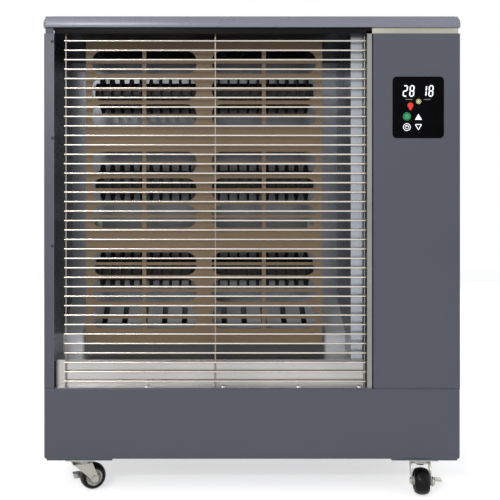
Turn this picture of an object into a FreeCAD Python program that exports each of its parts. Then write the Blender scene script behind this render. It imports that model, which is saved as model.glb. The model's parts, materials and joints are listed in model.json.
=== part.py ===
# Portable infrared oil heater: a sheet-metal cabinet on casters, with a tank base, a bright reflector
# chamber behind a wire guard, and a control column on its right.
# Millimetres. X runs to the right, Y to the back and Z up. The origin is on the floor, under the middle.

import FreeCAD
import Part
import math
import os

# Sheet metal and clearances
sheet = 1.2
bright_sheet = 0.8
frame_sheet = 1.5
fit = 0.3
run_fit = 0.05

# Base
base_width = 692.0
base_depth = 374.0
base_height = 117.0
base_proud = 2.0
base_fold = 4.0
deck_edge = 0.8
ledge_depth = 47.0
rail_width = 113.0
rail_thick = 3.0

# Cabinet
panel_height = 591.0
side_flange = 17.0
top_flange = 14.0
column_width = 144.0
column_gap = 2.0
column_return = 15.0
partition_flange = 8.0
partition_depth = 2.0

# Top cover and the frame that it drops over
cover_gap = 10.0
cover_lip = 20.0
cover_side = 1.5
cover_front = 3.0
cover_corner = 6.0
cover_edge = 3.0
frame_inset = 2.0

# Reflector chamber, with depths measured back from the cabinet's front
apron_depth = 15.0
apron_height = 45.0
pan_foot = 10.5
pan_tail = 6.0
right_flange_depth = 20.0
cheek_step = 30.8
slope_start = 72.0
chamber_depth = 155.0
lip_height = 34.0
bottom_rise = 52.0
ceiling_rise = 5.0
top_drop = 25.0
top_hook = 15.0
vent_length = 45.0
vent_width = 10.0
vent_pitch = 35.8
vent_margin = 55.0

# Radiant panel
panel_sheet = 1.5
panel_depth = 58.0
panel_side_gap = 42.5
panel_floor_gap = 17.0
panel_head_gap = 6.0
panel_return = 10.0
slot_length = 182.0
slot_height = 40.0
slot_radius = 18.0
slot_pitch = 46.5
slot_head = 16.0
slot_foot = 28.0
slot_gap = 26.5
slot_rib = 7.0
slot_web = 5.0
slot_rows = 3
slot_groups = 3
bracket_height = 20.0
bracket_foot = 11.0
bracket_gap = 1.0

# Radiant tubes and the boxes behind them
tube_depth = 110.0
tube_low = 143.0
tube_pitch = 158.5
tube_count = 3
tube_sides = 8
tube_radius = 20.0
tube_wall = 1.5
fin_radius = 34.0
fin_thick = 3.0
fin_pitch = 17.5
fin_reach = 11.0
tube_end = 5.0
stub_radius = 17.0
stub_inset = 30.0
header_width = 90.0
header_depth = 50.0
header_margin = 45.0
flue_radius = 40.0
flue_proud = 35.0
flue_collar = 8.0
blast_radius = 21.0

# Wire guard
wire = 3.0
wire_pitch = 15.86
wire_low = 10.0
wire_head = 10.0
guard_left_gap = 17.0
guard_right_gap = 8.8
guard_overhang = 2.0

# Column
touch_width = 85.0
touch_height = 102.0
touch_corner = 7.0
touch_side = 32.0
touch_head = 72.0
touch_proud = 0.6
touch_border = 5.0
touch_back = 3.0
board_gap = 6.0
board_thick = 1.6
board_inset = 8.0
post_radius = 3.0

# Burner, in the column
blower_radius = 56.0
blower_width = 46.0
blower_wall = 1.5
fan_radius = 46.0
fan_width = 30.0
fan_blades = 20
fan_blade = 1.0
fan_disc = 2.0
fan_boss = 4.0
fan_ring = 12.0
fan_gap = 5.0
shaft_radius = 4.0
motor_radius = 32.0
motor_length = 52.0
pump_radius = 22.0
pump_length = 24.0
pump_port = 6.0
port_radius = 6.0
pipe_radius = 3.0
transformer_width = 42.0
transformer_depth = 60.0
transformer_height = 70.0
transformer_drop = 30.0
terminal_radius = 5.0
terminal_length = 12.0

# Tank and its fittings on the ledge behind the cabinet
tank_gap = 3.0
tank_height = 80.0
tank_wall = 1.0
tank_corner = 15.0
neck_inset = 86.0
neck_radius = 18.0
neck_wall = 2.0
neck_height = 16.0
neck_flange = 5.0
neck_flange_thick = 2.0
cap_wall = 3.0
cap_grips = 12
cap_grip = 2.0
cap_grip_out = 0.7
gauge_spacing = 80.0
gauge_radius = 17.0
gauge_stem = 8.0
gauge_height = 9.0
gauge_edge = 3.0

# Back panel
louvre_width = 105.0
louvre_height = 6.0
louvre_pitch = 16.0
louvre_proud = 4.0
louvre_rows = 6
louvre_low = 150.0
louvre_spread = 260.0
gland_bore = 5.0
gland_radius = 8.0
gland_head = 12.0
gland_length = 22.0
gland_head_length = 8.0
gland_side = 72.0
gland_low = 46.0

# Casters
wheel_radius = 22.0
wheel_width = 25.0
tyre_thick = 5.0
tyre_round = 4.0
hub_boss = 6.5
hub_rim = 2.5
hub_web = 8.0
caster_height = 59.0
caster_trail = 18.0
caster_side = 48.0
caster_plate = 2.5
caster_inset_x = 59.0
caster_inset_y = 28.0
race_radius = 16.0
race_height = 3.5
pin_radius = 4.0
pin_head = 6.5
pin_head_thick = 4.0
crown_height = 2.5
fork_sheet = 2.0
fork_gap = 2.0
fork_nose = 19.0
fork_heel = 13.0
fork_foot = 7.0
axle_radius = 3.0
axle_head = 5.0
axle_head_thick = 2.2
hole_radius = 2.5
hole_inset = 7.0
lever_thick = 2.5
lever_boss = 8.0
lever_reach = 26.0
lever_drop = 4.0
lever_tip = 4.0
pedal_width = 19.0
pedal_length = 13.0
pedal_thick = 3.0
front_left_heading = 23.0
front_right_heading = -98.0
rear_left_heading = 82.0
rear_right_heading = 40.0

# Places worked out from the sizes above
right = base_width / 2
left = -right
front = -base_depth / 2
base_front = front - base_proud
base_back = base_depth / 2
cabinet_back = base_back - ledge_depth
base_bottom = caster_height + rail_thick
deck_top = base_bottom + base_height
deck_bottom = deck_top - sheet
panel_top = deck_top + panel_height
lip_bottom = panel_top + cover_gap
cover_top = lip_bottom + cover_lip
ceiling = panel_top + ceiling_rise
column_left = right - column_width
partition_right = column_left - column_gap
partition_left = partition_right - sheet
chamber_left = left + side_flange
chamber_right = partition_left - cheek_step
chamber_middle = (chamber_left + chamber_right) / 2
apron_y = front + apron_depth
slope_y = front + slope_start
wall_y = front + chamber_depth
wall_back = wall_y + bright_sheet
floor_top = deck_top + apron_height
step_top = floor_top + lip_height
slope_low = step_top + bottom_rise
slope_high = ceiling - top_drop
panel_left = chamber_left + panel_side_gap
panel_right = chamber_right - panel_side_gap
panel_low = floor_top + panel_floor_gap
panel_high = ceiling - panel_head_gap
panel_y = front + panel_depth
panel_back = panel_y + panel_sheet
tube_y = front + tube_depth
tube_heights = [floor_top + tube_low + tube_pitch * i for i in range(tube_count)]
tube_left = panel_left + fin_reach
tube_right = panel_right - fin_reach
stub_places = [tube_left + stub_inset, tube_right - stub_inset]
header_back = wall_back + header_depth
header_middle = wall_back + header_depth / 2
burner_height = tube_heights[0]
motor_left = partition_right + blower_width
pump_left = motor_left + motor_length
pump_middle = pump_left + pump_length / 2
tank_bottom = base_bottom + sheet
tank_top = tank_bottom + tank_height
ledge_middle = (cabinet_back + base_back) / 2
neck_x = left + neck_inset
gauge_x = neck_x + gauge_spacing
neck_top = deck_top + neck_height
touch_left = column_left + touch_side
touch_top = panel_top - touch_head
gland_x = right - gland_side
gland_z = deck_top + gland_low
axle_height = wheel_radius
fork_inner = wheel_width / 2 + fork_gap
fork_outer = fork_inner + fork_sheet
plate_bottom = caster_height - caster_plate
race_bottom = plate_bottom - race_height
crown_top = race_bottom - fit
crown_mid = crown_top - crown_height
crown_bottom = crown_mid - fork_sheet


# Shape helpers

def vec(x, y, z):
    return FreeCAD.Vector(x, y, z)


def block(x0, x1, y0, y1, z0, z1):
    return Part.makeBox(x1 - x0, y1 - y0, z1 - z0, vec(x0, y0, z0))


def rod(start, axis, radius, length):
    return Part.makeCylinder(radius, length, vec(*start), vec(*axis))


def pipe(start, axis, radius, bore, length):
    return rod(start, axis, radius, length).cut(rod(start, axis, bore, length))


def outline(points):
    return Part.Face(Part.makePolygon([vec(*p) for p in points] + [vec(*points[0])]))


def along_x(points, x0, x1):
    return outline([(x0, a, b) for a, b in points]).extrude(vec(x1 - x0, 0, 0))


def along_y(points, y0, y1):
    return outline([(a, y0, b) for a, b in points]).extrude(vec(0, y1 - y0, 0))


def along_z(points, z0, z1):
    return outline([(a, b, z0) for a, b in points]).extrude(vec(0, 0, z1 - z0))


# Outline of a bent sheet: the path is one face, and the sheet lies on its right
def bent(path, thick):
    steps = []
    for (a0, b0), (a1, b1) in zip(path, path[1:]):
        length = math.hypot(a1 - a0, b1 - b0)
        steps.append(((b1 - b0) / length, (a0 - a1) / length))
    inner = []
    for i, (a, b) in enumerate(path):
        before = steps[max(i - 1, 0)]
        after = steps[min(i, len(steps) - 1)]
        share = thick / (1 + before[0] * after[0] + before[1] * after[1])
        inner.append((a + (before[0] + after[0]) * share, b + (before[1] + after[1]) * share))
    return path + inner[::-1]


# Regular polygon of a given corner radius, with flats across its first axis
def polygon(a, b, radius, sides):
    half = math.pi / sides
    turns = [half + 2 * half * i for i in range(sides)]
    return [(a + radius * math.cos(t), b + radius * math.sin(t)) for t in turns]


# Rounded rectangle in the XZ plane, pushed back along Y
def rounded_plate(x0, x1, z0, z1, corner, y0, y1):
    plate = block(x0, x1, y0, y1, z0, z1)
    edges = [e for e in plate.Edges if abs(e.Vertexes[0].Y - e.Vertexes[-1].Y) > (y1 - y0) / 2]
    return plate.makeFillet(corner, edges)


# Solid of revolution about an axis through a point, from (radius, height) pairs
def turned(points, start, axis):
    face = outline([(r, 0, h) for r, h in points])
    solid = face.revolve(vec(0, 0, 0), vec(0, 0, 1), 360)
    solid.Placement = FreeCAD.Placement(vec(*start), FreeCAD.Rotation(vec(0, 0, 1), vec(*axis)))
    return solid


def join(first, others):
    return first.multiFuse(others).removeSplitter()


# Block with round upright edges and a softer rim round its top
def soft_lid(x1, y0, y1, low, high, corner, edge):
    lid = block(-x1, x1, y0, y1, low, high)
    upright = [e for e in lid.Edges if abs(e.Vertexes[0].Z - e.Vertexes[-1].Z) > (high - low) / 2]
    lid = lid.makeFillet(corner, upright)
    rim = [e for e in lid.Edges if min(v.Z for v in e.Vertexes) > (low + high) / 2]
    return lid.makeFillet(edge, rim)


# Block with round upright edges and a round rim below
def soft_tray(x1, y0, y1, low, high, fold):
    tray = block(-x1, x1, y0, y1, low, high)
    folded = [e for e in tray.Edges if min(v.Z for v in e.Vertexes) < (low + high) / 2]
    return tray.makeFillet(fold, folded)


# Base

def base_tray():
    outer = soft_tray(right, base_front, base_back, base_bottom, deck_bottom, base_fold)
    inner = soft_tray(right - sheet, base_front + sheet, base_back - sheet, tank_bottom, deck_bottom,
                      base_fold - sheet)
    return outer.cut(inner)


def base_deck():
    deck = soft_lid(right, base_front, base_back, deck_bottom, deck_top, base_fold, deck_edge)
    holes = [
        rod((neck_x, ledge_middle, deck_bottom), (0, 0, 1), neck_radius + fit, sheet),
        rod((gauge_x, ledge_middle, deck_bottom), (0, 0, 1), gauge_stem + fit, sheet),
        rod((pump_middle, header_middle, deck_bottom), (0, 0, 1), pipe_radius + fit, sheet),
    ]
    return deck.cut(holes)


# Two plates under the ends of the tray, one for each pair of casters
def caster_rails():
    y0 = base_front + base_fold
    y1 = base_back - base_fold
    near = block(left + base_fold, left + rail_width, y0, y1, caster_height, base_bottom)
    far = block(right - rail_width, right - base_fold, y0, y1, caster_height, base_bottom)
    return Part.makeCompound([near, far])


# Cabinet panels

# Rounds the outer upright edges of a folded sheet that stand at the given corners
def eased(folded, corners, radius):
    edges = []
    for e in folded.Edges:
        a = e.Vertexes[0].Point
        b = e.Vertexes[-1].Point
        upright = math.hypot(a.x - b.x, a.y - b.y) < 1e-6
        if upright and any(math.hypot(a.x - x, a.y - y) < 1e-6 for x, y in corners):
            edges.append(e)
    return folded.makeFillet(radius, edges)


def left_side_panel():
    turn = cabinet_back - sheet
    path = [(chamber_left, front), (left, front), (left, turn), (chamber_left, turn)]
    wall = eased(along_z(bent(path, sheet), deck_top, panel_top), path[1:3], sheet)
    inside = left + sheet
    shelf = block(inside, inside + top_flange, front + sheet, turn - sheet, panel_top - sheet, panel_top)
    return join(wall, [shelf])


def right_side_panel():
    turn = cabinet_back - sheet
    face = front + sheet
    path = [(right - side_flange, turn), (right, turn), (right, face), (right - side_flange, face)]
    wall = eased(along_z(bent(path, sheet), deck_top, panel_top), path[1:3], sheet)
    inside = right - sheet
    shelf = block(inside - top_flange, inside, face + sheet, turn - sheet, panel_top - sheet, panel_top)
    return join(wall, [shelf])


def column_front_panel():
    back = front + column_return
    path = [(right, front), (column_left, front), (column_left, back), (partition_right, back)]
    wall = eased(along_z(bent(path, sheet), deck_top, panel_top), path[1:2], sheet)
    window = rounded_plate(touch_left - fit, touch_left + touch_width + fit, touch_top - touch_height - fit,
                           touch_top + fit, touch_corner, front, front + sheet)
    return wall.cut(window)


def partition_wall():
    face = front + partition_depth
    back = cabinet_back - sheet
    path = [(partition_right, back), (partition_right, face), (partition_right - partition_flange, face)]
    wall = along_z(bent(path, sheet), deck_top, ceiling)
    hole = rod((partition_left, header_middle, burner_height), (1, 0, 0), blast_radius + fit, sheet)
    corner = block(partition_left, partition_right, slope_y, back, panel_top, ceiling)
    return wall.cut([hole, corner])


def louvre(x, z):
    y = cabinet_back
    slot = block(x, x + louvre_width, y - sheet, y, z, z + louvre_height)
    path = [(y, z + louvre_height + sheet), (y + louvre_proud, z)]
    inner = [(y + louvre_proud - sheet, z), (y, z + louvre_height)]
    return slot, along_x(path + inner, x, x + louvre_width)


def back_panel():
    panel = block(left, right, cabinet_back - sheet, cabinet_back, deck_top, panel_top)
    column_middle = (partition_right + right) / 2
    banks = [column_middle, chamber_middle - louvre_spread / 2, chamber_middle + louvre_spread / 2]
    cuts = [
        rod((stub_places[0], cabinet_back - sheet, tube_heights[-1]), (0, 1, 0), flue_radius + fit, sheet),
        rod((gland_x, cabinet_back - sheet, gland_z), (0, 1, 0), gland_radius + fit, sheet),
    ]
    hoods = []
    for middle in banks:
        for row in range(louvre_rows):
            low = deck_top + louvre_low + louvre_pitch * row
            slot, hood = louvre(middle - louvre_width / 2, low)
            cuts.append(slot)
            hoods.append(hood)
    return join(panel.cut(cuts), hoods)


# Top

def top_frame():
    x1 = right - frame_inset
    y0 = front + frame_inset
    y1 = cabinet_back - frame_inset
    high = cover_top - sheet
    wall = frame_sheet
    ring = block(-x1, x1, y0, y1, panel_top, high)
    ring = ring.cut(block(-x1 + wall, x1 - wall, y0 + wall, y1 - wall, panel_top, high))
    notch = block(chamber_left - bright_sheet - fit, partition_right + fit, y0, y0 + wall, panel_top, ceiling)
    return ring.cut(notch)


def top_cover():
    x1 = right + cover_side
    y0 = front - cover_front
    y1 = cabinet_back + cover_front
    outer = soft_lid(x1, y0, y1, lip_bottom, cover_top, cover_corner, cover_edge)
    inner = soft_lid(x1 - sheet, y0 + sheet, y1 - sheet, lip_bottom, cover_top - sheet,
                     cover_corner - sheet, cover_edge - sheet)
    return outer.cut(inner)


# Reflector chamber

def floor_pan():
    tail = slope_y + pan_tail
    path = [(apron_y - pan_foot, deck_top + bright_sheet), (apron_y, deck_top + bright_sheet),
            (apron_y, floor_top), (tail, floor_top), (tail, deck_top)]
    return along_x(bent(path, bright_sheet), chamber_left - bright_sheet, partition_left)


def cheek(face, x0):
    edge = [(face, floor_top), (face, ceiling), (slope_y, ceiling), (wall_y, slope_high),
            (wall_y, slope_low), (slope_y, step_top), (slope_y, floor_top)]
    return along_x(edge, x0, x0 + bright_sheet)


def reflector_left():
    return cheek(front + sheet, chamber_left - bright_sheet)


def reflector_right():
    face = front + right_flange_depth
    flange = block(chamber_right, partition_left, face, face + bright_sheet, floor_top, ceiling)
    return join(cheek(face, chamber_right), [flange])


# Row of slots through a sloping sheet, cut square to the sheet along its middle line
def slope_vents(y0, z0, y1, z1):
    span = math.hypot(y1 - y0, z1 - z0)
    run = (chamber_right - chamber_left) - 2 * vent_margin
    count = int(run / vent_pitch) + 1
    first = chamber_middle - vent_pitch * (count - 1) / 2
    tilt = math.degrees(math.atan2(z1 - z0, y1 - y0))
    vents = []
    for i in range(count):
        slot = Part.makeBox(vent_width, vent_length, vent_width)
        x = first + vent_pitch * i - vent_width / 2
        slot.translate(vec(x, (span - vent_length) / 2, -vent_width / 2))
        slot.rotate(vec(0, 0, 0), vec(1, 0, 0), tilt)
        slot.translate(vec(0, y0, z0))
        vents.append(slot)
    return vents


def behind_wall():
    reach = chamber_depth
    return block(left, right, wall_y, wall_y + reach, deck_top, cover_top)


def reflector_bottom():
    path = [(slope_y, floor_top), (slope_y, step_top), (wall_y, slope_low)]
    strip = along_x(bent(path, bright_sheet), chamber_left - bright_sheet, chamber_right + bright_sheet)
    return strip.cut(slope_vents(slope_y, step_top, wall_y, slope_low) + [behind_wall()])


def reflector_top():
    rail = front + frame_inset + frame_sheet
    flat = [(slope_y, ceiling), (rail, ceiling), (rail, ceiling + top_hook)]
    roof = along_x(bent(flat, bright_sheet), chamber_left - bright_sheet, partition_right)
    slope = [(wall_y + bright_sheet, slope_high - bright_sheet * top_drop / (wall_y - slope_y)),
             (slope_y, ceiling), (slope_y - bright_sheet, ceiling)]
    strip = along_x(bent(slope, bright_sheet), chamber_left - bright_sheet, chamber_right + bright_sheet)
    strip = strip.cut(slope_vents(slope_y, ceiling, wall_y, slope_high) + [behind_wall()])
    return join(roof, [strip])


def reflector_back():
    wall = block(chamber_left - bright_sheet, partition_left, wall_y, wall_back, deck_top, ceiling)
    holes = []
    for x in stub_places:
        for z in tube_heights:
            holes.append(rod((x, wall_y, z), (0, 1, 0), stub_radius + fit, bright_sheet))
    return wall.cut(holes)


# Radiant panel and what carries it

# One slot, split into four by its upright rib and its level web, rounded at its outer corners
def panel_slot(x, z):
    slot = rounded_plate(x - slot_length / 2, x + slot_length / 2, z - slot_height / 2, z + slot_height / 2,
                         slot_radius, panel_y, panel_back)
    rib = block(x - slot_rib / 2, x + slot_rib / 2, panel_y, panel_back, z - slot_height, z + slot_height)
    web = block(x - slot_length, x + slot_length, panel_y, panel_back, z - slot_web / 2, z + slot_web / 2)
    return slot.cut([rib, web])


def radiant_panel():
    turn = panel_y + panel_return
    path = [(panel_right, turn), (panel_right, panel_y), (panel_left, panel_y), (panel_left, turn)]
    panel = along_z(bent(path, panel_sheet), panel_low, panel_high)
    middle = (panel_left + panel_right) / 2
    offset = (slot_length + slot_gap) / 2
    first = panel_high - slot_head - slot_height / 2
    last = panel_low + slot_foot + slot_height / 2
    group_pitch = (first - last - slot_pitch * (slot_rows - 1)) / (slot_groups - 1)
    slots = []
    for x in (middle - offset, middle + offset):
        for group in range(slot_groups):
            for row in range(slot_rows):
                slots.append(panel_slot(x, first - group_pitch * group - slot_pitch * row))
    return panel.cut(slots)


# Four bent straps, two a side, between the back wall and the panel, at heights between the tubes
def panel_brackets():
    straps = []
    for edge, inward in ((panel_left, 1), (panel_right, -1)):
        web = edge + inward * (panel_sheet + bracket_gap)
        foot = web + inward * bracket_foot
        path = [(foot, panel_back), (web, panel_back), (web, wall_y), (foot, wall_y)]
        section = bent(path, frame_sheet * inward)
        for low, high in zip(tube_heights, tube_heights[1:]):
            middle = (low + high) / 2
            straps.append(along_z(section, middle - bracket_height / 2, middle + bracket_height / 2))
    return Part.makeCompound(straps)


# Finned tube with closed ends and two stubs that run back through the wall to the headers
def radiant_tube(z):
    core = along_x(polygon(tube_y, z, tube_radius, tube_sides), tube_left, tube_right)
    bore = along_x(polygon(tube_y, z, tube_radius - tube_wall, tube_sides), tube_left + tube_wall,
                   tube_right - tube_wall)
    run = tube_right - tube_left - 2 * tube_end - fin_thick
    count = int(run / fin_pitch) + 1
    first = (tube_left + tube_right - fin_thick - fin_pitch * (count - 1)) / 2
    rim = polygon(tube_y, z, fin_radius, tube_sides)
    added = [along_x(rim, first + fin_pitch * i, first + fin_pitch * i + fin_thick) for i in range(count)]
    opened = [bore]
    for x in stub_places:
        added.append(along_y(polygon(x, z, stub_radius, tube_sides), tube_y, wall_back))
        opened.append(along_y(polygon(x, z, stub_radius - tube_wall, tube_sides), tube_y, wall_back))
    return core.multiFuse(added).cut(opened)


def header(x):
    low = tube_heights[0] - header_margin
    high = tube_heights[-1] + header_margin
    half = header_width / 2
    outer = block(x - half, x + half, wall_back, header_back, low, high)
    inner = block(x - half + sheet, x + half - sheet, wall_back + sheet, header_back - sheet,
                  low + sheet, high - sheet)
    holes = [rod((x, wall_back, z), (0, 1, 0), stub_radius - tube_wall, sheet) for z in tube_heights]
    return outer.cut([inner] + holes)


def header_left():
    x = stub_places[0]
    hole = rod((x, header_back - sheet, tube_heights[-1]), (0, 1, 0), flue_radius - sheet, sheet)
    return header(x).cut(hole)


def header_right():
    x = stub_places[1]
    start = (x + header_width / 2 - sheet, header_middle, burner_height)
    return header(x).cut(rod(start, (1, 0, 0), blast_radius - sheet, sheet))


def combustion_tube():
    start = stub_places[1] + header_width / 2
    return pipe((start, header_middle, burner_height), (1, 0, 0), blast_radius, blast_radius - sheet,
                partition_right - start)


def flue_outlet():
    x = stub_places[0]
    z = tube_heights[-1]
    length = cabinet_back + flue_proud - header_back
    tube = rod((x, header_back, z), (0, 1, 0), flue_radius, length)
    collar = rod((x, cabinet_back, z), (0, 1, 0), flue_radius + flue_collar, sheet)
    return join(tube, [collar]).cut(rod((x, header_back, z), (0, 1, 0), flue_radius - sheet, length))


# Welded guard: level wires lie on the front of three upright wires, flat against flat
def wire_guard():
    across = wire / 2
    corner = across / math.cos(math.pi / 6)
    upright_y = apron_y - fit - across
    level_y = upright_y - wire
    low = deck_top + wire_low
    count = int((ceiling - wire_head - low) / wire_pitch) + 1
    x0 = chamber_left + guard_left_gap
    x1 = partition_left - guard_right_gap
    uprights = []
    for x in (x0, (x0 + x1) / 2, x1):
        ring = [(a, b) for b, a in polygon(upright_y, x, corner, 6)]
        uprights.append(along_z(ring, deck_top + bright_sheet, ceiling))
    levels = []
    for i in range(count):
        ring = polygon(level_y, low + wire_pitch * i, corner, 6)
        levels.append(along_x(ring, x0 - guard_overhang, x1 + guard_overhang))
    return uprights[0].multiFuse(uprights[1:] + levels)


# Column fittings

def touch_panel():
    x1 = touch_left + touch_width
    low = touch_top - touch_height
    inside = front + sheet
    border = touch_border
    glass = rounded_plate(touch_left, x1, low, touch_top, touch_corner, front - touch_proud, inside)
    carrier = rounded_plate(touch_left - border, x1 + border, low - border, touch_top + border,
                            touch_corner, inside, inside + touch_back)
    return join(glass, [carrier])


def control_board():
    face = front + sheet + touch_back
    x0 = touch_left + board_inset
    x1 = touch_left + touch_width - board_inset
    z0 = touch_top - touch_height + board_inset
    z1 = touch_top - board_inset
    board = block(x0, x1, face + board_gap, face + board_gap + board_thick, z0, z1)
    posts = []
    for x in (x0 + board_inset, x1 - board_inset):
        for z in (z0 + board_inset, z1 - board_inset):
            posts.append(rod((x, face, z), (0, 1, 0), post_radius, board_gap))
    return join(board, posts)


# Burner

def blower_housing():
    start = (partition_right, header_middle, burner_height)
    inner = (partition_right + blower_wall, header_middle, burner_height)
    drum = rod(start, (1, 0, 0), blower_radius, blower_width)
    room = rod(inner, (1, 0, 0), blower_radius - blower_wall, blower_width - 2 * blower_wall)
    outlet = rod(start, (1, 0, 0), blast_radius - sheet, blower_wall)
    passage = rod(inner, (1, 0, 0), shaft_radius + fan_gap, blower_width)
    return drum.cut([room, outlet, passage])


def blower_wheel():
    x0 = motor_left - blower_wall - fan_gap - fan_width
    start = (x0, header_middle, burner_height)
    disc_x = x0 + fan_width - fan_disc
    disc = rod((disc_x, header_middle, burner_height), (1, 0, 0), fan_radius, fan_disc)
    boss = rod(start, (1, 0, 0), shaft_radius + fan_boss, fan_width)
    blades = []
    for i in range(fan_blades):
        half = fan_blade / 2
        blade = block(x0, disc_x, -half, half, fan_radius - fan_ring, fan_radius - fan_blade)
        blade.translate(vec(0, header_middle, burner_height))
        blade.rotate(vec(*start), vec(1, 0, 0), 360.0 * i / fan_blades)
        blades.append(blade)
    bore = rod(start, (1, 0, 0), shaft_radius + run_fit, fan_width)
    return join(disc, [boss] + blades).cut(bore)


def burner_motor():
    body = rod((motor_left, header_middle, burner_height), (1, 0, 0), motor_radius, motor_length)
    shaft_x = motor_left - blower_wall - fan_gap - fan_width
    shaft = rod((shaft_x, header_middle, burner_height), (1, 0, 0), shaft_radius, motor_left - shaft_x)
    return join(body, [shaft])


def fuel_pump():
    body = rod((pump_left, header_middle, burner_height), (1, 0, 0), pump_radius, pump_length)
    port = rod((pump_middle, header_middle, burner_height - pump_radius - pump_port), (0, 0, 1), port_radius,
               pump_radius + pump_port)
    return join(body, [port])


def fuel_line():
    top = burner_height - pump_radius - pump_port
    return rod((pump_middle, header_middle, tank_top), (0, 0, 1), pipe_radius, top - tank_top)


def ignition_transformer():
    x1 = partition_right + transformer_width
    z0 = burner_height + blower_radius + transformer_drop
    y0 = header_middle - transformer_depth / 2
    case = block(partition_right, x1, y0, y0 + transformer_depth, z0, z0 + transformer_height)
    middle = partition_right + transformer_width / 2
    terminals = []
    for y in (y0 + transformer_depth / 4, y0 + transformer_depth * 3 / 4):
        terminals.append(rod((middle, y, z0 - terminal_length), (0, 0, 1), terminal_radius, terminal_length))
    return join(case, terminals)


# Tank and its fittings

def fuel_tank():
    gap = sheet + tank_gap
    x1 = right - gap
    y1 = base_back - gap
    wall = tank_wall
    outer = block(-x1, x1, -y1, y1, tank_bottom, tank_top)
    upright = [e for e in outer.Edges if abs(e.Vertexes[0].Z - e.Vertexes[-1].Z) > tank_height / 2]
    outer = outer.makeFillet(tank_corner, upright)
    inner = block(-x1 + wall, x1 - wall, -y1 + wall, y1 - wall, tank_bottom + wall, tank_top - wall)
    upright = [e for e in inner.Edges if abs(e.Vertexes[0].Z - e.Vertexes[-1].Z) > tank_height / 2]
    inner = inner.makeFillet(tank_corner - wall, upright)
    holes = [
        rod((neck_x, ledge_middle, tank_top - wall), (0, 0, 1), neck_radius - neck_wall, wall),
        rod((gauge_x, ledge_middle, tank_top - wall), (0, 0, 1), gauge_stem - tank_wall, wall),
    ]
    return outer.cut([inner] + holes)


def filler_neck():
    bore = neck_radius - neck_wall
    rim = neck_radius + neck_flange
    flange_top = deck_top + neck_flange_thick
    section = [(bore, tank_top), (neck_radius, tank_top), (neck_radius, deck_top), (rim, deck_top),
               (rim, flange_top), (neck_radius, flange_top), (neck_radius, neck_top), (bore, neck_top)]
    return turned(section, (neck_x, ledge_middle, 0), (0, 0, 1))


def filler_cap():
    low = deck_top + neck_flange_thick + fit
    roof = neck_top + fit
    bore = neck_radius + fit
    rim = bore + cap_wall
    section = [(bore, low), (rim, low), (rim, roof + cap_wall), (0, roof + cap_wall), (0, roof), (bore, roof)]
    cap = turned(section, (neck_x, ledge_middle, 0), (0, 0, 1))
    notches = []
    for i in range(cap_grips):
        turn = 2 * math.pi * i / cap_grips
        x = neck_x + (rim + cap_grip_out) * math.cos(turn)
        y = ledge_middle + (rim + cap_grip_out) * math.sin(turn)
        notches.append(rod((x, y, low), (0, 0, 1), cap_grip, roof + cap_wall - low))
    return cap.cut(notches)


def fuel_gauge():
    high = deck_top + gauge_height
    shoulder = gauge_radius - gauge_edge
    section = [(0, tank_top), (gauge_stem, tank_top), (gauge_stem, deck_top), (gauge_radius, deck_top),
               (gauge_radius, high - gauge_edge), (shoulder, high), (0, high)]
    return turned(section, (gauge_x, ledge_middle, 0), (0, 0, 1))


def cable_gland():
    back = cabinet_back + gland_head_length
    inner = back - gland_length
    hexagon = along_y(polygon(gland_x, gland_z, gland_head, 6), cabinet_back, back)
    body = rod((gland_x, inner, gland_z), (0, 1, 0), gland_radius, gland_length)
    return join(body, [hexagon]).cut(rod((gland_x, inner, gland_z), (0, 1, 0), gland_bore, gland_length))


# Casters, made with the trail along +X and the brake on the +Y side, then turned to their heading

def caster_plate_shape():
    half = caster_side / 2
    plate = block(-half, half, -half, half, plate_bottom, caster_height)
    race = rod((0, 0, race_bottom), (0, 0, 1), race_radius, race_height)
    head_top = crown_bottom - fit
    pin_foot = head_top - pin_head_thick
    pin = rod((0, 0, pin_foot), (0, 0, 1), pin_radius, plate_bottom - pin_foot)
    head = rod((0, 0, head_top - pin_head_thick), (0, 0, 1), pin_head, pin_head_thick)
    spread = half - hole_inset
    holes = []
    for x in (-spread, spread):
        for y in (-spread, spread):
            holes.append(rod((x, y, plate_bottom), (0, 0, 1), hole_radius, caster_plate))
    return join(plate, [race, pin, head]).cut(holes)


# Leg outline in the wheel's plane, with its rounded foot round the axle
def fork_leg(y):
    x = caster_trail
    foot = fork_foot
    corners = [(x - foot, axle_height), (-fork_nose, crown_mid), (fork_heel, crown_mid),
               (x + foot, axle_height)]
    points = [vec(a, y, b) for a, b in corners]
    edges = [Part.LineSegment(a, b).toShape() for a, b in zip(points, points[1:])]
    edges.append(Part.Arc(points[-1], vec(x, y, axle_height - foot), points[0]).toShape())
    return Part.Face(Part.Wire(edges)).extrude(vec(0, fork_sheet, 0))


def caster_fork_shape():
    crown = block(-fork_nose, fork_heel, -fork_outer, fork_outer, crown_bottom, crown_mid)
    race = rod((0, 0, crown_mid), (0, 0, 1), race_radius, crown_height)
    legs = [fork_leg(-fork_outer), fork_leg(fork_inner)]
    stem = rod((0, 0, 0), (0, 0, 1), pin_radius + run_fit, caster_height)
    axle = rod((caster_trail, -fork_outer, axle_height), (0, 1, 0), axle_radius + run_fit, 2 * fork_outer)
    return join(crown, [race] + legs).cut([stem, axle])


def caster_axle_shape(braked):
    far = fork_outer + (lever_thick + 2 * fit if braked else 0)
    thick = axle_head_thick
    near = -fork_outer - thick
    pin = rod((caster_trail, near, axle_height), (0, 1, 0), axle_radius, far + thick - near)
    heads = [rod((caster_trail, y, axle_height), (0, 1, 0), axle_head, thick) for y in (near, far)]
    return join(pin, heads)


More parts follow.
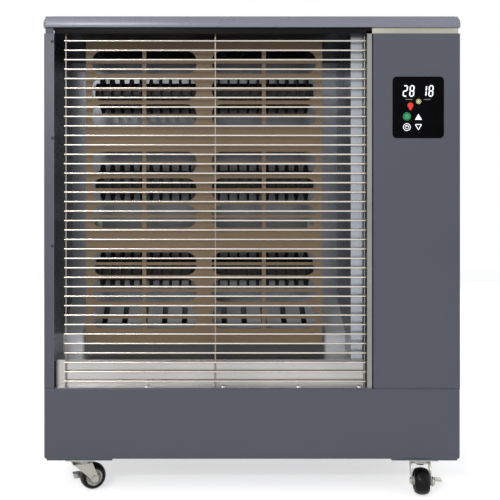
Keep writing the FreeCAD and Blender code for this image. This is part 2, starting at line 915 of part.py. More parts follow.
def caster_hub_shape():
    rim = wheel_radius - tyre_thick
    side = wheel_width / 2 - hub_rim
    boss = fork_inner - fit
    bore = axle_radius + run_fit
    web = hub_web / 2
    section = [(bore, -boss), (hub_boss, -boss), (hub_boss, -web), (rim - hub_rim, -web),
               (rim - hub_rim, -side), (rim, -side), (rim, side), (rim - hub_rim, side),
               (rim - hub_rim, web), (hub_boss, web), (hub_boss, boss), (bore, boss)]
    return turned(section, (caster_trail, 0, axle_height), (0, 1, 0))


def caster_tyre_shape():
    start = (caster_trail, -wheel_width / 2, axle_height)
    band = rod(start, (0, 1, 0), wheel_radius, wheel_width)
    edges = [e for e in band.Edges if len(e.Vertexes) == 1]
    band = band.makeFillet(tyre_round, edges)
    return band.cut(rod(start, (0, 1, 0), wheel_radius - tyre_thick, wheel_width))


# Brake lever: an arm that turns on the axle, with a pedal that sticks out at its tip
def caster_brake_shape():
    y = fork_outer + fit
    tip_x = caster_trail - lever_reach
    tip_z = axle_height - lever_drop
    ends = [(caster_trail, axle_height + lever_boss), (tip_x, tip_z + lever_tip), (tip_x, tip_z - lever_tip),
            (caster_trail, axle_height - lever_boss)]
    points = [vec(a, y, b) for a, b in ends]
    edges = [
        Part.LineSegment(points[0], points[1]).toShape(),
        Part.Arc(points[1], vec(tip_x - lever_tip, y, tip_z), points[2]).toShape(),
        Part.LineSegment(points[2], points[3]).toShape(),
        Part.Arc(points[3], vec(caster_trail + lever_boss, y, axle_height), points[0]).toShape(),
    ]
    arm = Part.Face(Part.Wire(edges)).extrude(vec(0, lever_thick, 0))
    pedal = block(tip_x - lever_tip / 2, tip_x - lever_tip / 2 + pedal_length, y, y + pedal_width,
                  tip_z - pedal_thick / 2, tip_z + pedal_thick / 2)
    bore = rod((caster_trail, y, axle_height), (0, 1, 0), axle_radius + run_fit, lever_thick)
    return join(arm, [pedal]).cut(bore)


def caster(corner, x, y, heading, braked):
    shapes = {
        "caster_fork_" + corner: caster_fork_shape(),
        "caster_axle_" + corner: caster_axle_shape(braked),
        "caster_hub_" + corner: caster_hub_shape(),
        "caster_tyre_" + corner: caster_tyre_shape(),
    }
    if braked:
        shapes["caster_brake_" + corner] = caster_brake_shape()
    for shape in shapes.values():
        shape.rotate(vec(0, 0, 0), vec(0, 0, 1), heading)
        shape.translate(vec(x, y, 0))
    return shapes


def caster_plates(places):
    plates = []
    for x, y in places:
        plate = caster_plate_shape()
        plate.translate(vec(x, y, 0))
        plates.append(plate)
    return Part.makeCompound(plates)


# The whole heater, one solid or group of solids to a node

nodes = {
    "base_tray": base_tray(),
    "base_deck": base_deck(),
    "caster_rails": caster_rails(),
    "left_side_panel": left_side_panel(),
    "right_side_panel": right_side_panel(),
    "column_front_panel": column_front_panel(),
    "partition_wall": partition_wall(),
    "back_panel": back_panel(),
    "top_frame": top_frame(),
    "top_cover": top_cover(),
    "floor_pan": floor_pan(),
    "reflector_left": reflector_left(),
    "reflector_right": reflector_right(),
    "reflector_bottom": reflector_bottom(),
    "reflector_top": reflector_top(),
    "reflector_back": reflector_back(),
    "radiant_panel": radiant_panel(),
    "panel_brackets": panel_brackets(),
    "header_left": header_left(),
    "header_right": header_right(),
    "combustion_tube": combustion_tube(),
    "flue_outlet": flue_outlet(),
    "wire_guard": wire_guard(),
    "touch_panel": touch_panel(),
    "control_board": control_board(),
    "blower_housing": blower_housing(),
    "blower_wheel": blower_wheel(),
    "burner_motor": burner_motor(),
    "fuel_pump": fuel_pump(),
    "fuel_line": fuel_line(),
    "ignition_transformer": ignition_transformer(),
    "fuel_tank": fuel_tank(),
    "filler_neck": filler_neck(),
    "filler_cap": filler_cap(),
    "fuel_gauge": fuel_gauge(),
    "cable_gland": cable_gland(),
}

for name, height in zip(("lower", "middle", "upper"), tube_heights):
    nodes["radiant_tube_" + name] = radiant_tube(height)

caster_x = right - caster_inset_x
caster_y = base_back - caster_inset_y
nodes["caster_plates"] = caster_plates([(x, y) for x in (-caster_x, caster_x) for y in (-caster_y, caster_y)])
nodes.update(caster("front_left", -caster_x, -caster_y, front_left_heading, True))
nodes.update(caster("front_right", caster_x, -caster_y, front_right_heading, True))
nodes.update(caster("rear_left", -caster_x, caster_y, rear_left_heading, False))
nodes.update(caster("rear_right", caster_x, caster_y, rear_right_heading, False))

os.makedirs("parts", exist_ok=True)
for name, shape in nodes.items():
    shape.exportStep("parts/" + name + ".step")
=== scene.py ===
import bpy
import bmesh
import json
import math
from mathutils import Matrix, Vector


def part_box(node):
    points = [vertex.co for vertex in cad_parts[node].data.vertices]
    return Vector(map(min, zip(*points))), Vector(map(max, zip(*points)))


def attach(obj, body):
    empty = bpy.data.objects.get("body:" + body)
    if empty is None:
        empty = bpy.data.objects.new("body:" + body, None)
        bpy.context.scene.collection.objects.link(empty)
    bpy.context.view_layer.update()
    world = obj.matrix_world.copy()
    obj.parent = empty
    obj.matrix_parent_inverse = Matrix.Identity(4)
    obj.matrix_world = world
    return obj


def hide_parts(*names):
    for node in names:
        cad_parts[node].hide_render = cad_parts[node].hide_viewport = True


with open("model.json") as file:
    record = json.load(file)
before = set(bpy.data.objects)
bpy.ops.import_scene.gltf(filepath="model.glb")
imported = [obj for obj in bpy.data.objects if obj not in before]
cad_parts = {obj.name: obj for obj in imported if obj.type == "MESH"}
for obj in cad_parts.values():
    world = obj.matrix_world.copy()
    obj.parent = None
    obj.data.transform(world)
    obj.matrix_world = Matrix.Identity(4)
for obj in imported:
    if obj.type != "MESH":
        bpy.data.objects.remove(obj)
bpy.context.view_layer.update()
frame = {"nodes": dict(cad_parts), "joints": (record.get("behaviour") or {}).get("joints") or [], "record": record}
nodes = frame["nodes"]
print("frame loaded:", len(nodes), "nodes")


# sRGB 0-255 as read off a swatch, to the linear colour that the shader wants
def swatch(r, g, b):
    def linear(c):
        c = c / 255
        return c / 12.92 if c <= 0.04045 else ((c + 0.055) / 1.055) ** 2.4
    return (linear(r), linear(g), linear(b), 1.0)


# Material helpers

def startMaterial(name):
    mat = bpy.data.materials.new(name)
    mat.use_nodes = True
    tree = mat.node_tree
    shader = tree.nodes["Principled BSDF"]
    coords = tree.nodes.new("ShaderNodeTexCoord")
    return mat, tree, shader, coords


def noiseNode(tree, coords, scale, detail=4.0, stretch=(1, 1, 1)):
    turn = tree.nodes.new("ShaderNodeMapping")
    turn.inputs["Scale"].default_value = stretch
    noise = tree.nodes.new("ShaderNodeTexNoise")
    noise.inputs["Scale"].default_value = scale
    noise.inputs["Detail"].default_value = detail
    tree.links.new(coords.outputs["Object"], turn.inputs["Vector"])
    tree.links.new(turn.outputs["Vector"], noise.inputs["Vector"])
    return noise.outputs["Fac"]


def rampNode(tree, source, stops):
    ramp = tree.nodes.new("ShaderNodeValToRGB")
    marks = ramp.color_ramp.elements
    while len(marks) < len(stops):
        marks.new(0.5)
    for mark, (place, colour) in zip(marks, stops):
        mark.position = place
        mark.color = colour
    tree.links.new(source, ramp.inputs["Fac"])
    return ramp.outputs["Color"]


def grey(v):
    return (v, v, v, 1.0)


def bumpNode(tree, source, strength, distance):
    bump = tree.nodes.new("ShaderNodeBump")
    bump.inputs["Strength"].default_value = strength
    bump.inputs["Distance"].default_value = distance
    tree.links.new(source, bump.inputs["Height"])
    return bump.outputs["Normal"]


def tint(colour, share):
    return tuple(min(1.0, c * share) for c in colour[:3]) + (1.0,)


# Powder coat: fine orange peel, a slow drift of tone and slightly rubbed gloss
def powderCoat(name, colour, rough=0.42, peel=0.12):
    mat, tree, shader, coords = startMaterial(name)
    drift = noiseNode(tree, coords, 3.0, 3.0)
    tree.links.new(rampNode(tree, drift, [(0.3, tint(colour, 0.93)), (0.7, tint(colour, 1.07))]),
                   shader.inputs["Base Color"])
    rub = noiseNode(tree, coords, 11.0, 5.0)
    tree.links.new(rampNode(tree, rub, [(0.3, grey(rough - 0.05)), (0.75, grey(rough + 0.07))]),
                   shader.inputs["Roughness"])
    grain = noiseNode(tree, coords, 900.0, 2.0)
    tree.links.new(bumpNode(tree, grain, peel, 0.0003), shader.inputs["Normal"])
    return mat


# Rolled sheet: long faint streaks along one axis and soft cloudy marks
def rolledSheet(name, colour, rough, stretch, metal=1.0):
    mat, tree, shader, coords = startMaterial(name)
    shader.inputs["Metallic"].default_value = metal
    cloud = noiseNode(tree, coords, 6.0, 4.0)
    tree.links.new(rampNode(tree, cloud, [(0.3, tint(colour, 0.88)), (0.7, tint(colour, 1.1))]),
                   shader.inputs["Base Color"])
    streak = noiseNode(tree, coords, 140.0, 3.0, stretch)
    tree.links.new(rampNode(tree, streak, [(0.25, grey(rough - 0.07)), (0.8, grey(rough + 0.1))]),
                   shader.inputs["Roughness"])
    tree.links.new(bumpNode(tree, streak, 0.08, 0.0002), shader.inputs["Normal"])
    return mat


# Painted shade: darkens a finish below one height and between two sides, standing in for the shadow a panel casts
# on the sheet behind it
def paintShadeBehindPanel(mat, shadePlan, x0, x1):
    tree = mat.node_tree
    shader = tree.nodes["Principled BSDF"]
    coat = shader.inputs["Base Color"].links[0].from_socket
    coords = tree.nodes.new("ShaderNodeTexCoord")
    split = tree.nodes.new("ShaderNodeSeparateXYZ")
    tree.links.new(coords.outputs["Object"], split.inputs["Vector"])

    def rise(source, start, end):
        span = tree.nodes.new("ShaderNodeMapRange")
        span.inputs["From Min"].default_value = start
        span.inputs["From Max"].default_value = end
        span.inputs["To Min"].default_value = shadePlan["share"]
        tree.links.new(split.outputs[source], span.inputs["Value"])
        return span.outputs["Result"]

    lit = rise("Z", shadePlan["z0"], shadePlan["z1"])
    for other in (rise("X", x0, x0 - shadePlan["fade"]), rise("X", x1, x1 + shadePlan["fade"])):
        more = tree.nodes.new("ShaderNodeMath")
        more.operation = "MAXIMUM"
        tree.links.new(lit, more.inputs[0])
        tree.links.new(other, more.inputs[1])
        lit = more.outputs[0]
    shade = tree.nodes.new("ShaderNodeVectorMath")
    shade.operation = "SCALE"
    tree.links.new(coat, shade.inputs[0])
    tree.links.new(lit, shade.inputs["Scale"])
    tree.links.new(shade.outputs["Vector"], shader.inputs["Base Color"])


# Matt coat over sheet, with burnt clouds and a fine gritty surface
def heatCoat(name, colour, rough):
    mat, tree, shader, coords = startMaterial(name)
    cloud = noiseNode(tree, coords, 5.0, 5.0)
    tree.links.new(rampNode(tree, cloud, [(0.25, tint(colour, 0.86)), (0.75, tint(colour, 1.12))]),
                   shader.inputs["Base Color"])
    grit = noiseNode(tree, coords, 1300.0, 2.0)
    tree.links.new(rampNode(tree, grit, [(0.3, grey(rough - 0.06)), (0.7, grey(rough + 0.06))]),
                   shader.inputs["Roughness"])
    tree.links.new(bumpNode(tree, grit, 0.18, 0.0003), shader.inputs["Normal"])
    return mat


# Moulded plastic or rubber: faint mottling and a fine texture
def moulded(name, colour, rough, grain=700.0, strength=0.12, gloss=0.5):
    mat, tree, shader, coords = startMaterial(name)
    shader.inputs["Specular IOR Level"].default_value = gloss
    mottle = noiseNode(tree, coords, 40.0, 3.0)
    tree.links.new(rampNode(tree, mottle, [(0.3, tint(colour, 0.85)), (0.7, tint(colour, 1.15))]),
                   shader.inputs["Base Color"])
    tree.links.new(rampNode(tree, mottle, [(0.3, grey(rough - 0.06)), (0.7, grey(rough + 0.08))]),
                   shader.inputs["Roughness"])
    fine = noiseNode(tree, coords, grain, 2.0)
    tree.links.new(bumpNode(tree, fine, strength, 0.0003), shader.inputs["Normal"])
    return mat


# Gloss black glass with a whisper of fingerprints in its gloss
def blackGlass(name):
    mat, tree, shader, coords = startMaterial(name)
    shader.inputs["Specular IOR Level"].default_value = 0.02
    smear = noiseNode(tree, coords, 60.0, 5.0)
    dark, pale = (0.0022, 0.0022, 0.0028, 1), (0.0038, 0.0038, 0.0045, 1)
    tree.links.new(rampNode(tree, smear, [(0.3, dark), (0.8, pale)]), shader.inputs["Base Color"])
    tree.links.new(rampNode(tree, smear, [(0.4, grey(0.09)), (0.8, grey(0.2))]), shader.inputs["Roughness"])
    return mat


# Lit symbol behind glass, a little uneven in its glow
def litSymbol(name, colour, power):
    mat, tree, shader, coords = startMaterial(name)
    shader.inputs["Roughness"].default_value = 0.5
    uneven = noiseNode(tree, coords, 350.0, 2.0)
    glow = rampNode(tree, uneven, [(0.2, tint(colour, 0.85)), (0.8, tint(colour, 1.0))])
    tree.links.new(glow, shader.inputs["Emission Color"])
    tree.links.new(glow, shader.inputs["Base Color"])
    shader.inputs["Emission Strength"].default_value = power
    return mat


finish = {
    "slate": swatch(76, 78, 90),
    "tan": swatch(120, 101, 78),
    # From stainless to topSheet: one stainless reflector sheet in lit and shaded copies per part, as painted light
    # and shade
    "stainless": swatch(106, 110, 117),
    "rearSheet": swatch(106, 108, 112),
    "rightSheet": swatch(154, 159, 165),
    "lowSheet": swatch(204, 206, 209),
    "topSheet": swatch(112, 114, 118),
    # Near-black rail over the chamber, as painted shade under the cover
    "lintel": swatch(28, 28, 28),
    "apron": swatch(174, 172, 170),
    "wire": swatch(212, 206, 197),
    # Darker copy of the wire for the uprights, as painted shade
    "upright": swatch(146, 138, 126),
    "zinc": swatch(172, 171, 164),
    "tube": swatch(15, 13, 13),
    # Paler fin rims, as a painted highlight of their lit edges
    "finRimHighlight": swatch(44, 42, 41),
    "hub": swatch(206, 203, 198),
    "tyre": swatch(11, 10, 11),
    # Lighter, glossier copy of the slate for the cover, as a painted highlight
    "cover": swatch(130, 133, 145),
    "galvanised": swatch(168, 166, 156),
    # Darker copy of the galvanised sheet for the partition, as painted shade
    "partition": swatch(142, 142, 140),
    "steel": swatch(150, 150, 148),
    "screw": swatch(225, 225, 228),
    "black": swatch(24, 24, 25),
    "window": swatch(200, 204, 202),
    "enamel": swatch(72, 72, 75),
    "board": swatch(28, 92, 52),
    "pipe": swatch(198, 140, 90),
    "white": swatch(235, 238, 240),
    "red": swatch(196, 40, 34),
    "green": swatch(36, 132, 84),
    "amber": swatch(196, 190, 140),
    "dim": swatch(120, 122, 124),
}
# Painted shade behind the panel on the low and top sheets. The top sheet's heights lie over the whole part, so its
# painted shade runs from end to end behind the panel
lowShadePlan = {"z0": 0.25, "z1": 0.275, "share": 0.12, "past": 0.004, "fade": 0.006}
topShadePlan = {"z0": 1.0, "z1": 1.1, "share": 0.08, "past": 0.004, "fade": 0.006}

slatePaint = powderCoat("slatePaint", finish["slate"])
# Lighter, glossier copy of the slate paint, as a painted highlight on the cover
coverLitPaint = powderCoat("coverLitPaint", finish["cover"], 0.28, 0.06)
# Lit and shaded copies of one stainless for the reflector parts, as painted light and shade
rearSheet = rolledSheet("rearReflector", finish["rearSheet"], 0.32, (0.04, 1, 1))
rightSheet = rolledSheet("rightReflector", finish["rightSheet"], 0.3, (1, 1, 0.04))
lowSheet = rolledSheet("lowReflector", finish["lowSheet"], 0.34, (0.04, 1, 1), 0.35)
topSheet = rolledSheet("topReflector", finish["topSheet"], 0.36, (0.04, 1, 1))
# Near-black sheet for the rail over the chamber, as painted shade under the cover
lintelShadeSheet = rolledSheet("shadedLintel", finish["lintel"], 0.4, (0.04, 1, 1))
stainless = rolledSheet("stainlessReflector", finish["stainless"], 0.3, (0.04, 1, 1))
apronSheet = rolledSheet("stainlessApron", finish["apron"], 0.3, (0.04, 1, 1))
zincSheet = rolledSheet("galvanisedSheet", finish["galvanised"], 0.42, (1, 1, 0.05), 0.8)
# Darker copy of the galvanised sheet for the partition, as painted shade
partitionSheet = rolledSheet("partitionSheet", finish["partition"], 0.4, (1, 1, 0.05), 0.8)
plainSteel = rolledSheet("plainSteel", finish["steel"], 0.38, (1, 0.05, 1))
tanCoat = heatCoat("tanHeatCoat", finish["tan"], 0.62)
tubeCoat = heatCoat("blackTubeCoat", finish["tube"], 0.55)
# Paler sheet for the fin rims, as a painted highlight of their lit edges
finRimHighlight = rolledSheet("litFinRim", finish["finRimHighlight"], 0.4, (1, 1, 1), 0.7)
wirePlate = rolledSheet("platedWire", finish["wire"], 0.24, (0.05, 1, 0.05), 0.85)
# Darker copy of the plated wire for the uprights, as painted shade
shadedUprightWire = rolledSheet("uprightShadeWire", finish["upright"], 0.4, (0.05, 1, 0.05), 0.85)
casterZinc = rolledSheet("casterZinc", finish["zinc"], 0.3, (1, 1, 0.2))
screwZinc = rolledSheet("screwZinc", finish["screw"], 0.25, (1, 1, 1))
hubPlastic = moulded("hubPlastic", finish["hub"], 0.45)
tyreRubber = moulded("tyreRubber", finish["tyre"], 0.3, 900.0, 0.2, 0.16)
blackPlastic = moulded("blackPlastic", finish["black"], 0.45)
clearPlastic = moulded("gaugeWindow", finish["window"], 0.15)
greyEnamel = powderCoat("greyEnamel", finish["enamel"], 0.35)
boardMask = moulded("boardMask", finish["board"], 0.35)
brassPipe = rolledSheet("drawnPipe", finish["pipe"], 0.3, (1, 1, 0.05))
glassBlack = blackGlass("touchGlass")
whiteLight = litSymbol("whiteSymbol", finish["white"], 0.75)
redLight = litSymbol("redSymbol", finish["red"], 0.62)
greenLight = litSymbol("greenSymbol", finish["green"], 0.62)
amberLight = litSymbol("amberSymbol", finish["amber"], 0.6)
dimLight = litSymbol("dimSymbol", finish["dim"], 0.25)
print("finishes made")

slotFinish = {
    "slate_paint": slatePaint, "zinc_sheet": zincSheet, "bright_stainless": stainless, "tan_coating": tanCoat,
    "dark_tube": tubeCoat, "plain_steel": plainSteel, "burner_paint": greyEnamel, "guard_wire": wirePlate,
    "black_glass": glassBlack, "board_green": boardMask, "tank_steel": greyEnamel, "fuel_brass": brassPipe,
    "black_plastic": blackPlastic, "clear_plastic": clearPlastic, "caster_zinc": casterZinc,
    "hub_grey": hubPlastic, "tyre_black": tyreRubber,
}


def dress(node, mat):
    piece = nodes[node]
    piece.data.materials.clear()
    piece.data.materials.append(mat)


for part in frame["record"]["subparts"]:
    dress(part["node"], slotFinish[part["material_slot"]])
dress("floor_pan", apronSheet)
dress("partition_wall", partitionSheet)
dress("reflector_back", rearSheet)
panelLow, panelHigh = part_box("radiant_panel")
# Painted shade on the low and top reflector sheets, limited to the panel's width
for sheet, shadePlan in ((lowSheet, lowShadePlan), (topSheet, topShadePlan)):
    paintShadeBehindPanel(sheet, shadePlan, panelLow.x - shadePlan["past"], panelHigh.x + shadePlan["past"])
dress("reflector_bottom", lowSheet)
dress("reflector_right", rightSheet)
dress("reflector_top", topSheet)
print("CAD pieces dressed")


# Mesh helpers

def pieceFrom(name, mesh, mat, body):
    piece = bpy.data.objects.new(name, mesh)
    bpy.context.scene.collection.objects.link(piece)
    if mat is not None:
        mesh.materials.clear()
        mesh.materials.append(mat)
    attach(piece, body)
    return piece


def smooth(mesh, degrees):
    mesh.polygons.foreach_set("use_smooth", [True] * len(mesh.polygons))
    mesh.set_sharp_from_angle(angle=math.radians(degrees))


def meshFrom(name, bm, smoothAngle=None):
    bmesh.ops.remove_doubles(bm, verts=bm.verts, dist=1e-6)
    bmesh.ops.recalc_face_normals(bm, faces=bm.faces)
    mesh = bpy.data.meshes.new(name)
    bm.to_mesh(mesh)
    bm.free()
    if smoothAngle is not None:
        smooth(mesh, smoothAngle)
    return mesh


# Closed ring turned about the Y axis from (radius, width) points, then set on its axle
def turnedRing(bm, profile, place, segments=64):
    rings = []
    for i in range(segments):
        turn = 2 * math.pi * i / segments
        across, up = math.cos(turn), math.sin(turn)
        rings.append([bm.verts.new(place @ Vector((r * across, w, r * up))) for r, w in profile])
    count = len(profile)
    for i in range(segments):
        here, there = rings[i], rings[(i + 1) % segments]
        for j in range(count):
            k = (j + 1) % count
            bm.faces.new((here[j], here[k], there[k], there[j]))


def arcPoints(cx, cy, radius, start, end, steps):
    turns = [math.radians(start + (end - start) * i / steps) for i in range(steps + 1)]
    return [(cx + radius * math.cos(t), cy + radius * math.sin(t)) for t in turns]


# Flat outline pushed through a thickness along Y, then placed
def addPlate(bm, points, y0, y1, place=Matrix.Identity(4)):
    near = [bm.verts.new(place @ Vector((a, y0, b))) for a, b in points]
    far = [bm.verts.new(place @ Vector((a, y1, b))) for a, b in points]
    bm.faces.new(near)
    bm.faces.new(far[::-1])
    for i in range(len(points)):
        j = (i + 1) % len(points)
        bm.faces.new((near[j], near[i], far[i], far[j]))


# One solid of a piece, softened on its own so that its edges catch the light
def addSoft(bm, make, soft):
    part = bmesh.new()
    make(part)
    bmesh.ops.recalc_face_normals(part, faces=part.faces)
    edges = [e for e in part.edges if len(e.link_faces) == 2 and e.calc_face_angle() > math.radians(40)]
    bmesh.ops.bevel(part, geom=edges, offset=soft, segments=2, affect="EDGES", profile=0.5)
    scratch = bpy.data.meshes.new("scratch")
    part.to_mesh(scratch)
    part.free()
    bm.from_mesh(scratch)
    bpy.data.meshes.remove(scratch)


# Geometry Nodes helpers

def startTree(name, sizes):
    kinds = {int: "NodeSocketInt", float: "NodeSocketFloat", tuple: "NodeSocketVector"}
    tree = bpy.data.node_groups.new(name, "GeometryNodeTree")
    tree.interface.new_socket("Geometry", in_out="INPUT", socket_type="NodeSocketGeometry")
    for label, value in sizes.items():
        kind = kinds.get(type(value), "NodeSocketMaterial")
        socket = tree.interface.new_socket(label, in_out="INPUT", socket_type=kind)
        socket.default_value = value
    tree.interface.new_socket("Geometry", in_out="OUTPUT", socket_type="NodeSocketGeometry")
    return tree, tree.nodes.new("NodeGroupInput"), tree.nodes.new("NodeGroupOutput")


def geoNode(tree, kind, **values):
    node = tree.nodes.new("GeometryNode" + kind)
    for label, value in values.items():
        node.inputs[label.replace("_", " ")].default_value = value
    return node


def vectorOf(tree, x=None, y=None, z=None):
    node = tree.nodes.new("ShaderNodeCombineXYZ")
    for label, source in zip("XYZ", (x, y, z)):
        if source is not None:
            tree.links.new(source, node.inputs[label])
    return node.outputs["Vector"]


# Runs the tree on a carrier mesh and returns the plain mesh that comes out
def grow(name, tree, sizes, points=()):
    base = bpy.data.meshes.new(name + "Base")
    base.from_pydata(list(points), [], [])
    carrier = bpy.data.objects.new(name + "Carrier", base)
    bpy.context.scene.collection.objects.link(carrier)
    maker = carrier.modifiers.new("grow", "NODES")
    maker.node_group = tree
    for item in tree.interface.items_tree:
        if item.in_out == "INPUT" and item.name in sizes:
            maker[item.identifier] = sizes[item.name]
    carrier.update_tag()
    shown = carrier.evaluated_get(bpy.context.evaluated_depsgraph_get())
    mesh = bpy.data.meshes.new_from_object(shown)
    carrier.modifiers.remove(maker)
    bpy.data.objects.remove(carrier)
    mesh.name = name
    return mesh


# Wire guard: round level wires welded to the front of three round uprights, the uprights in a darker copy of the
# wire as painted shade
guard = {"radius": 0.0015, "levels": 37, "pitch": 0.01586, "lowZ": 0.189, "leftX": -0.314, "rightX": 0.192,
         "levelY": -0.1768, "uprightY": -0.1738, "uprights": 3, "uprightX": -0.312, "uprightGap": 0.251,
         "bottomZ": 0.1798, "topZ": 0.775}


def guardTree():
    tree, given, out = startTree("guardWires", guard)
    link = tree.links.new
    take = given.outputs
    circle = geoNode(tree, "CurvePrimitiveCircle", Resolution=12)
    link(take["radius"], circle.inputs["Radius"])
    made = tree.nodes.new("GeometryNodeJoinGeometry")
    rows = [
        ("levels", wirePlate, vectorOf(tree, None, take["levelY"], take["lowZ"]),
         vectorOf(tree, None, None, take["pitch"]), vectorOf(tree, take["leftX"]),
         vectorOf(tree, take["rightX"])),
        ("uprights", shadedUprightWire, vectorOf(tree, take["uprightX"], take["uprightY"]),
         vectorOf(tree, take["uprightGap"]), vectorOf(tree, None, None, take["bottomZ"]),
         vectorOf(tree, None, None, take["topZ"]))]
    for count, mat, first, step, start, end in rows:
        line = geoNode(tree, "MeshLine")
        link(take[count], line.inputs["Count"])
        link(first, line.inputs["Start Location"])
        link(step, line.inputs["Offset"])
        rod = geoNode(tree, "CurvePrimitiveLine")
        link(start, rod.inputs["Start"])
        link(end, rod.inputs["End"])
        skin = geoNode(tree, "CurveToMesh", Fill_Caps=True)
        link(rod.outputs["Curve"], skin.inputs["Curve"])
        link(circle.outputs["Curve"], skin.inputs["Profile Curve"])
        spread = geoNode(tree, "InstanceOnPoints")
        link(line.outputs["Mesh"], spread.inputs["Points"])
        link(skin.outputs["Mesh"], spread.inputs["Instance"])
        real = geoNode(tree, "RealizeInstances")
        link(spread.outputs["Instances"], real.inputs["Geometry"])
        paint = geoNode(tree, "SetMaterial")
        paint.inputs["Material"].default_value = mat
        link(real.outputs["Geometry"], paint.inputs["Geometry"])
        link(paint.outputs["Geometry"], made.inputs["Geometry"])
    link(made.outputs["Geometry"], out.inputs["Geometry"])
    return tree


guardMesh = grow("guardWires", guardTree(), guard)
smooth(guardMesh, 50)
guardPiece = pieceFrom("guardWires", guardMesh, None, "cabinet")
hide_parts("wire_guard")
print("guard grown:", len(guardMesh.polygons), "faces")


# Radiant tubes: round dark core with thin round fins, whose rims are a little paler as a painted highlight of
# their lit edges
tubes = {"coreRadius": 0.02, "length": 0.39, "finRadius": 0.034, "finThick": 0.003, "fins": 22,
         "pitch": 0.0175, "firstX": -0.26425, "middleX": -0.0805, "axisY": -0.077, "axisZ": 0.367,
         "stubRadius": 0.017, "stubLength": 0.0458, "stubY": -0.0541, "stubX": -0.2455, "stubGap": 0.33}
tubeLevels = {"lower": 0.367, "middle": 0.5255, "upper": 0.684}


def tubeTree():
    tree, given, out = startTree("finnedTube", tubes)
    link = tree.links.new
    take = given.outputs
    core = geoNode(tree, "MeshCylinder", Vertices=40)
    link(take["coreRadius"], core.inputs["Radius"])
    link(take["length"], core.inputs["Depth"])
    lay = geoNode(tree, "Transform", Rotation=(0, math.pi / 2, 0))
    link(core.outputs["Mesh"], lay.inputs["Geometry"])
    link(vectorOf(tree, take["middleX"], take["axisY"], take["axisZ"]), lay.inputs["Translation"])
    fin = geoNode(tree, "MeshCylinder", Vertices=40)
    link(take["finRadius"], fin.inputs["Radius"])
    link(take["finThick"], fin.inputs["Depth"])
    turn = geoNode(tree, "Transform", Rotation=(0, math.pi / 2, 0))
    dark = geoNode(tree, "SetMaterial")
    dark.inputs["Material"].default_value = tubeCoat
    rim = geoNode(tree, "SetMaterial")
    rim.inputs["Material"].default_value = finRimHighlight
    link(fin.outputs["Mesh"], dark.inputs["Geometry"])
    link(dark.outputs["Geometry"], rim.inputs["Geometry"])
    link(fin.outputs["Side"], rim.inputs["Selection"])
    link(rim.outputs["Geometry"], turn.inputs["Geometry"])
    line = geoNode(tree, "MeshLine")
    link(take["fins"], line.inputs["Count"])
    link(vectorOf(tree, take["firstX"], take["axisY"], take["axisZ"]), line.inputs["Start Location"])
    link(vectorOf(tree, take["pitch"]), line.inputs["Offset"])
    spread = geoNode(tree, "InstanceOnPoints")
    link(line.outputs["Mesh"], spread.inputs["Points"])
    link(turn.outputs["Geometry"], spread.inputs["Instance"])
    real = geoNode(tree, "RealizeInstances")
    link(spread.outputs["Instances"], real.inputs["Geometry"])
    stub = geoNode(tree, "MeshCylinder", Vertices=32)
    link(take["stubRadius"], stub.inputs["Radius"])
    link(take["stubLength"], stub.inputs["Depth"])
    point = geoNode(tree, "Transform", Rotation=(math.pi / 2, 0, 0))
    link(stub.outputs["Mesh"], point.inputs["Geometry"])
    pair = geoNode(tree, "MeshLine", Count=2)
    link(vectorOf(tree, take["stubX"], take["stubY"], take["axisZ"]), pair.inputs["Start Location"])
    link(vectorOf(tree, take["stubGap"]), pair.inputs["Offset"])
    stubs = geoNode(tree, "InstanceOnPoints")
    link(pair.outputs["Mesh"], stubs.inputs["Points"])
    link(point.outputs["Geometry"], stubs.inputs["Instance"])
    solid = geoNode(tree, "RealizeInstances")
    link(stubs.outputs["Instances"], solid.inputs["Geometry"])
    plain = tree.nodes.new("GeometryNodeJoinGeometry")
    link(lay.outputs["Geometry"], plain.inputs["Geometry"])
    link(solid.outputs["Geometry"], plain.inputs["Geometry"])
    coat = geoNode(tree, "SetMaterial")
    coat.inputs["Material"].default_value = tubeCoat
    link(plain.outputs["Geometry"], coat.inputs["Geometry"])
    made = tree.nodes.new("GeometryNodeJoinGeometry")
    link(coat.outputs["Geometry"], made.inputs["Geometry"])
    link(real.outputs["Geometry"], made.inputs["Geometry"])
    link(made.outputs["Geometry"], out.inputs["Geometry"])
    return tree


tubeGrower = tubeTree()
for level, axisZ in tubeLevels.items():
    tubeMesh = grow("finnedTube_" + level, tubeGrower, {**tubes, "axisZ": axisZ})
    smooth(tubeMesh, 40)
    tubePiece = pieceFrom("finnedTube_" + level, tubeMesh, None, "cabinet")
    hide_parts("radiant_tube_" + level)
print("tubes grown")


# Screws and rivets: low domed heads set on a list of places, all facing one way
head = {"radius": 0.003, "rise": 0.0016, "turn": (0.0, 0.0, 0.0), "finish": screwZinc}
crossSlot = (1.1, 0.22, 0.5)


